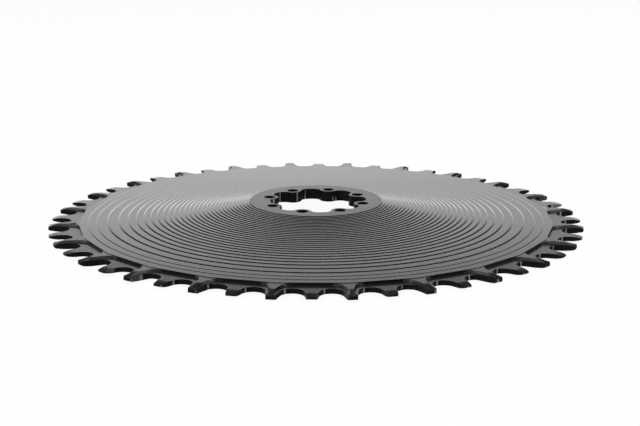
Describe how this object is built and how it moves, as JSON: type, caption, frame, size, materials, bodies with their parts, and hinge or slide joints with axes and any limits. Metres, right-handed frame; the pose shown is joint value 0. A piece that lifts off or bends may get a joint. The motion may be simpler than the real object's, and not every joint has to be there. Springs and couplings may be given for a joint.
{
  "type": "bicycle chainring",
  "caption": "Narrow-wide bicycle chainring: a shallow dished disc turned in terraces, with alternate wide and narrow teeth round the rim and a lobed hub with a ring of bolt holes.",
  "frame": {"origin": "on the ring's axis, on the surface that the back of its rim lies on", "axes": "+Z along the axis, from the back of the ring to its dished front; a narrow tooth and a bolt hole stand on +X"},
  "size_m": [0.202, 0.202, 0.0094],
  "materials": {
    "anodised_aluminium": "satin black anodising over a turned surface"
  },
  "bodies": {
    "root": {"chainring": "anodised_aluminium"}
  },
  "joints": []
}
